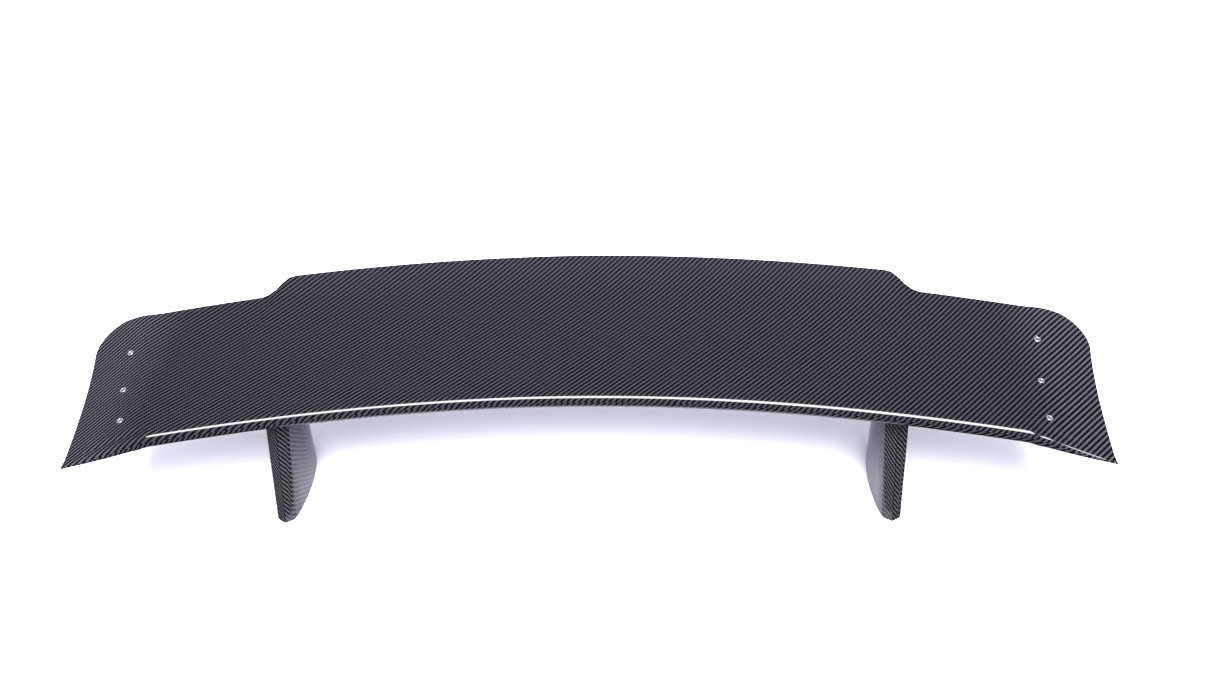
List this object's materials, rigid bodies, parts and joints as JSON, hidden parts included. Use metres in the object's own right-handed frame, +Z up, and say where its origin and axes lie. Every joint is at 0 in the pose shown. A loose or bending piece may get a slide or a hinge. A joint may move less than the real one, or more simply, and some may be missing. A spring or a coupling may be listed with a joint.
{
  "type": "racing rear wing",
  "caption": "Gloss carbon-fibre racing rear wing: bowed blade with raised centre trailing edge and drooped pointed ends, on hollow uprights.",
  "frame": {"origin": "on the ground plane under the feet, midway along the span and midway between the foremost and rearmost points", "axes": "+X along the span towards the right-hand end as the car faces away, +Y towards the rear of the car, +Z up"},
  "size_m": [1.378, 0.3614, 0.2174],
  "materials": {
    "blade_carbon": "gloss",
    "upright_carbon": "gloss",
    "bare_laminate": "matte",
    "core_foam": "matte",
    "block_aluminium": "satin",
    "sleeve_steel": "polished"
  },
  "bodies": {
    "root": {"blade_upper_skin": "blade_carbon", "blade_lower_skin": "blade_carbon", "leading_edge_joint_strip": "bare_laminate", "insert_backing_left": "bare_laminate", "insert_backing_right": "bare_laminate", "foam_core_left": "core_foam", "foam_core_centre": "core_foam", "foam_core_right": "core_foam", "hardpoint_plate_left": "block_aluminium", "hardpoint_plate_right": "block_aluminium", "end_insert_left_rear": "sleeve_steel", "end_insert_left_middle": "sleeve_steel", "end_insert_left_front": "sleeve_steel", "end_insert_right_rear": "sleeve_steel", "end_insert_right_middle": "sleeve_steel", "end_insert_right_front": "sleeve_steel", "upright_left_outer_half": "upright_carbon", "upright_left_inner_half": "upright_carbon", "upright_left_nose_joint_strip": "bare_laminate", "upright_left_tail_bond": "bare_laminate", "upright_left_base_block": "block_aluminium", "upright_left_top_block": "block_aluminium", "stud_left_front": "sleeve_steel", "stud_left_rear": "sleeve_steel", "upright_right_outer_half": "upright_carbon", "upright_right_inner_half": "upright_carbon", "upright_right_nose_joint_strip": "bare_laminate", "upright_right_tail_bond": "bare_laminate", "upright_right_base_block": "block_aluminium", "upright_right_top_block": "block_aluminium", "stud_right_front": "sleeve_steel", "stud_right_rear": "sleeve_steel"}
  },
  "joints": []
}
